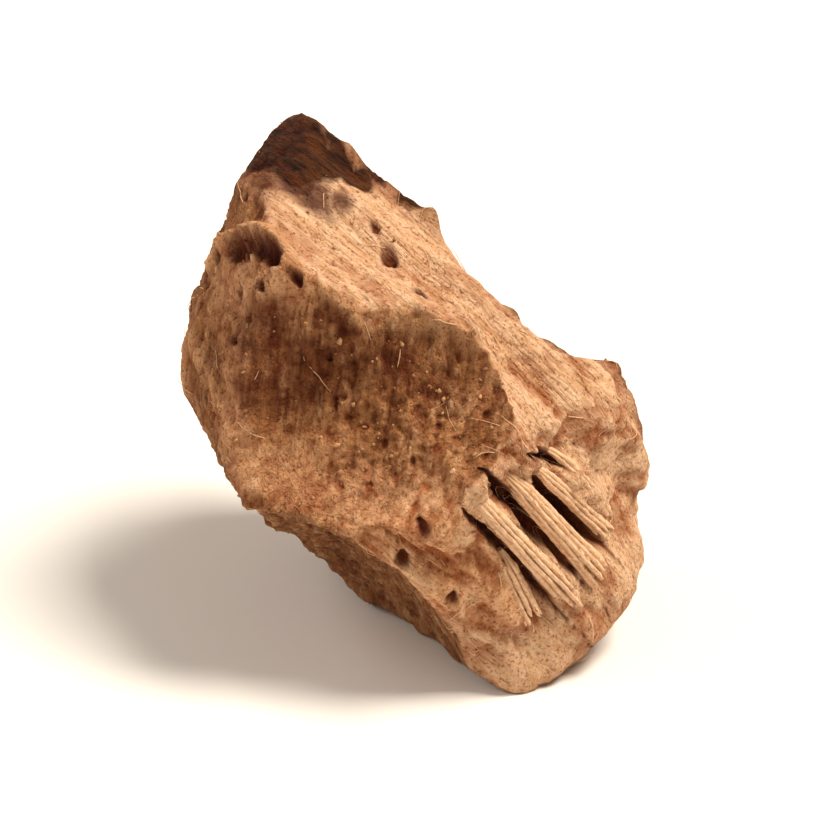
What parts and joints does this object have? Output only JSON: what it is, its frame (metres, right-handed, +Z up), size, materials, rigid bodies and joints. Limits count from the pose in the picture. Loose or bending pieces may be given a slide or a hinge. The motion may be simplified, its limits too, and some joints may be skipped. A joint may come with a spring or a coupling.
{
  "type": "dried galangal root piece",
  "caption": "Small chunk of dried galangal root, broken and split along its fibres, with a hollowed front, a torn fibrous shoulder and ringed skin behind.",
  "frame": {"origin": "bottom centre of the piece's box, level with the flat spot that it rests on", "axes": "+Z up, -Y towards the viewer of the hollowed front, +X to that viewer's right; the root's fibres run down to the front right"},
  "size_m": [0.0132, 0.0116, 0.0133],
  "materials": {
    "galangal_root": "dry, matt, fibrous, reddish brown, darker on its skin"
  },
  "bodies": {
    "root": {"galangal_root": "galangal_root"}
  },
  "joints": []
}
